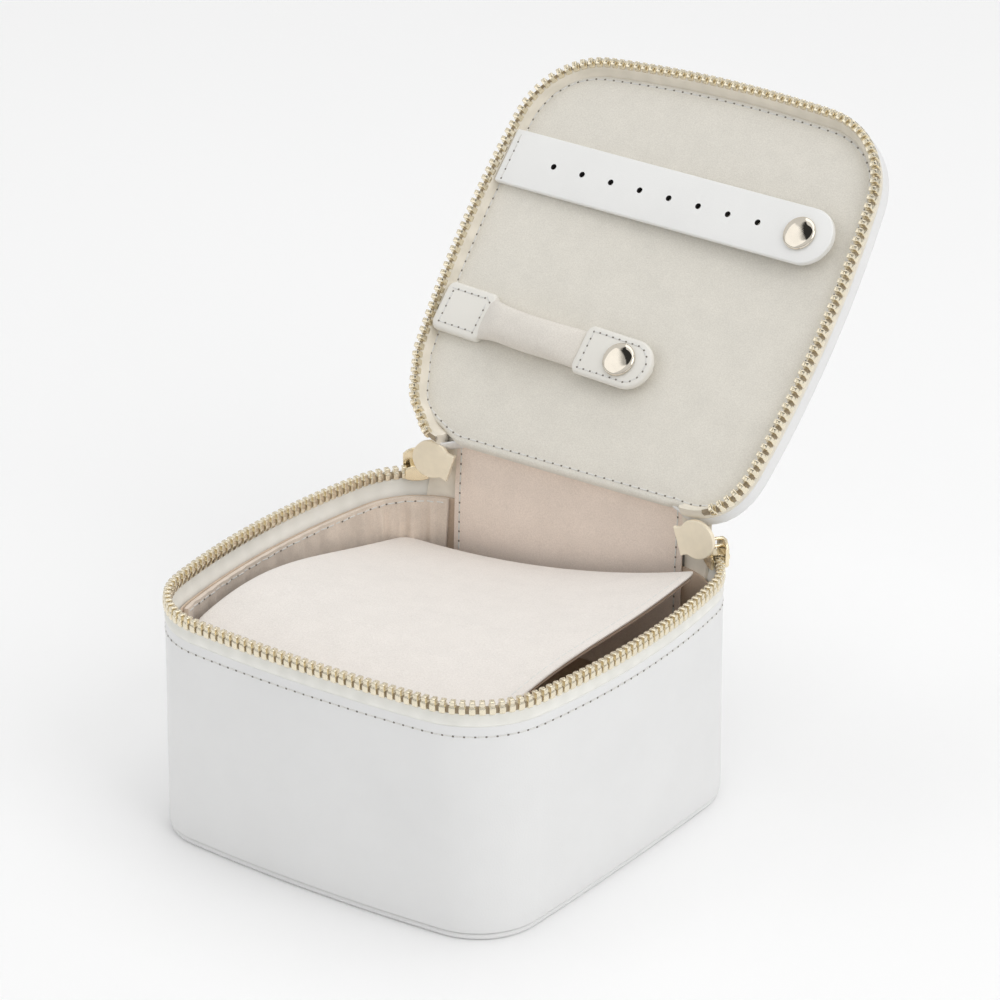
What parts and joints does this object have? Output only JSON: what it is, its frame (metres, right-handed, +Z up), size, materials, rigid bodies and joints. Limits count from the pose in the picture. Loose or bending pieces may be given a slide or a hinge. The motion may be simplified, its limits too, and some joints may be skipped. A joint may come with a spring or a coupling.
{
  "type": "travel jewelry box",
  "caption": "Square soft-cornered zip-around travel jewelry box, lid leaning back on a leather spine, with an earring strap, a ring bar, an inner flap and a side pocket.",
  "frame": {"origin": "middle of the underside, on the surface the box stands on", "axes": "+Z up, -Y towards the front of the box, +Y towards the lid's hinge, +X to the right seen from the front"},
  "size_m": [0.123, 0.192, 0.1664],
  "materials": {
    "white_leather": "smooth, slight sheen",
    "suede": "fine short nap, matte",
    "zip_tape": "woven twill tape, matte",
    "gold_metal": "polished pale gold plate",
    "snap_metal": "polished pale champagne plate",
    "board": "plain stiffener, hidden inside",
    "foam": "soft foam, hidden inside"
  },
  "bodies": {
    "base": {"base_bottom_panel": "white_leather", "base_wall_leather": "white_leather", "base_wall_board": "board", "base_wall_lining": "suede", "base_floor_pad": "suede", "base_zip_tape": "zip_tape", "base_zip_teeth": "gold_metal", "side_pocket": "suede", "hinge_spine_leather": "white_leather", "hinge_lining": "suede", "flap_hinge_strip": "suede", "left_end_stop": "gold_metal", "right_end_stop": "gold_metal"},
    "lid": {"lid_leather": "white_leather", "lid_lining": "suede", "lid_zip_tape": "zip_tape", "lid_zip_teeth": "gold_metal", "lid_foam_pad": "foam", "lid_board": "board", "earring_snap_stud": "snap_metal", "ring_snap_stud": "snap_metal", "ring_bar_anchor": "white_leather"},
    "inner_flap": {"inner_flap_backing": "suede", "inner_flap_face": "suede"},
    "earring_strap": {"earring_strap": "white_leather", "earring_snap_cap": "snap_metal", "earring_snap_socket": "snap_metal"},
    "ring_bar": {"ring_bar_roll": "suede", "ring_bar_tab": "white_leather", "ring_snap_cap": "snap_metal", "ring_snap_socket": "snap_metal"},
    "left_slider": {"left_slider": "gold_metal"},
    "right_slider": {"right_slider": "gold_metal"},
    "left_pull": {"left_pull_tab": "gold_metal"},
    "right_pull": {"right_pull_tab": "gold_metal"}
  },
  "joints": [
    {"name": "lid_hinge", "type": "hinge", "parent": "base", "child": "lid", "pos_m": [0, 0.0552, 0.0757], "axis": [1, 0, 0], "range_deg": [0, 132]},
    {"name": "flap_lift", "type": "hinge", "parent": "base", "child": "inner_flap", "pos_m": [0, -0.05015, 0.053], "axis": [-1, 0, 0], "range_deg": [-70, 0]},
    {"name": "strap_lift", "type": "hinge", "parent": "lid", "child": "earring_strap", "pos_m": [-0.055, 0.1041, 0.1386], "axis": [0.0279, 0.6689, 0.7429], "range_deg": [-60, 0]},
    {"name": "ring_bar_lift", "type": "hinge", "parent": "lid", "child": "ring_bar", "pos_m": [-0.041, 0.07225, 0.1057], "axis": [0.0244, 0.6689, 0.7429], "range_deg": [-60, 0]},
    {"name": "left_slider_travel", "type": "hinge", "parent": "base", "child": "left_slider", "pos_m": [-0.0344, 0.0344, 0.065], "axis": [0, 0, 1], "range_deg": [0, 30]},
    {"name": "right_slider_travel", "type": "hinge", "parent": "base", "child": "right_slider", "pos_m": [0.0344, 0.0344, 0.065], "axis": [0, 0, -1], "range_deg": [0, 30]},
    {"name": "left_pull_fold", "type": "hinge", "parent": "left_slider", "child": "left_pull", "pos_m": [-0.042, 0.0504, 0.0657], "axis": [0.9781, 0.2079, 0], "range_deg": [0, 89]},
    {"name": "right_pull_fold", "type": "hinge", "parent": "right_slider", "child": "right_pull", "pos_m": [0.0446, 0.0491, 0.0657], "axis": [1, 0, 0], "range_deg": [0, 89]}
  ],
  "couplings": [
    {"joint": "left_pull_fold", "follows": "lid_hinge", "ratio": 0.667},
    {"joint": "right_pull_fold", "follows": "lid_hinge", "ratio": 0.667}
  ]
}
